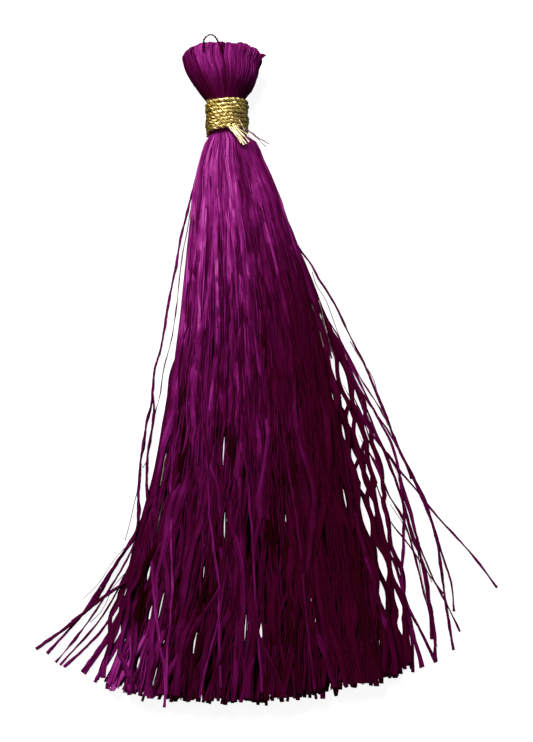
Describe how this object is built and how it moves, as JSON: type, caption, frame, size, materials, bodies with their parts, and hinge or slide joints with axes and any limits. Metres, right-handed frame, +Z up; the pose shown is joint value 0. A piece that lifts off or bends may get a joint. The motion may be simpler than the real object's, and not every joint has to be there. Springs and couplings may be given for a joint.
{
  "type": "silk tassel",
  "caption": "Flat-lying silk tassel with a flared looped head, a neck bound in gold metallic thread and a fanned skirt with stray strands.",
  "frame": {"origin": "on the resting surface, right under the middle of the gold binding, on the flat spot on its underside", "axes": "+Y along the tassel from the hem to the head, +X to the right of the tassel seen from above with its head up, +Z up out of the resting surface"},
  "size_m": [0.052, 0.0811, 0.0069],
  "materials": {
    "silk": "magenta silk thread, satin sheen",
    "gold_thread": "gold metallic thread, glossy foil"
  },
  "bodies": {
    "root": {"silk_hank": "silk", "gold_binding": "gold_thread", "top_loop": "silk"}
  },
  "joints": []
}
